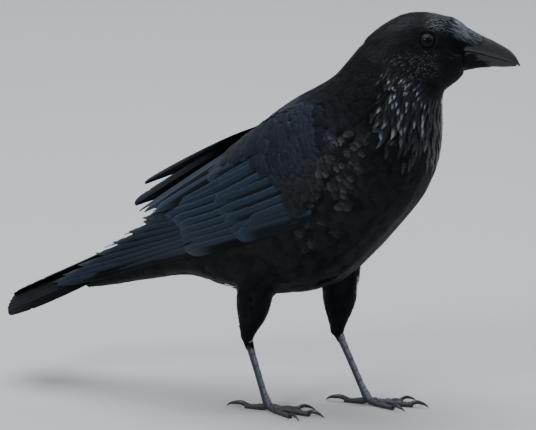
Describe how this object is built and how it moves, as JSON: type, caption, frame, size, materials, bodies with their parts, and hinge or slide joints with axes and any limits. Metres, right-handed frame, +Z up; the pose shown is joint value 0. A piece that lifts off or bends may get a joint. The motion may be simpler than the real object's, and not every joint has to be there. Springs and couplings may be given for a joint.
{
  "type": "standing carrion crow, life-size still model",
  "caption": "Life-size still model of a black crow standing with one foot forward, head turned a little, wings folded over the tail.",
  "frame": {"origin": "middle of the underside of the bounding box, on the ground between the feet", "axes": "+X the way the crow faces, +Y to its left, +Z up"},
  "size_m": [0.4216, 0.12, 0.3297],
  "materials": {
    "plumage": "soft black body feathers with a brownish to violet-blue sheen",
    "flight_feathers": "smooth black feathers with a slate-blue gloss",
    "bill": "satin black horn",
    "leg_skin": "satin black scaled skin",
    "claw": "smooth black horn",
    "eye": "wet dark brown eyeball"
  },
  "bodies": {
    "root": {"bill_lower": "bill", "bill_upper": "bill", "claw_left_hind": "claw", "claw_left_inner": "claw", "claw_left_middle": "claw", "claw_left_outer": "claw", "claw_right_hind": "claw", "claw_right_inner": "claw", "claw_right_middle": "claw", "claw_right_outer": "claw", "eye_left": "eye", "eye_right": "eye", "head": "plumage", "neck": "plumage", "tail": "flight_feathers", "tarsus_left": "leg_skin", "tarsus_right": "leg_skin", "thigh_left": "plumage", "thigh_right": "plumage", "toe_left_hind": "leg_skin", "toe_left_inner": "leg_skin", "toe_left_middle": "leg_skin", "toe_left_outer": "leg_skin", "toe_right_hind": "leg_skin", "toe_right_inner": "leg_skin", "toe_right_middle": "leg_skin", "toe_right_outer": "leg_skin", "trunk": "plumage", "wing_left_coverts": "plumage", "wing_left_primaries": "flight_feathers", "wing_left_secondaries": "flight_feathers", "wing_left_tertials": "flight_feathers", "wing_right_coverts": "plumage", "wing_right_primaries": "flight_feathers", "wing_right_secondaries": "flight_feathers", "wing_right_tertials": "flight_feathers"}
  },
  "joints": []
}
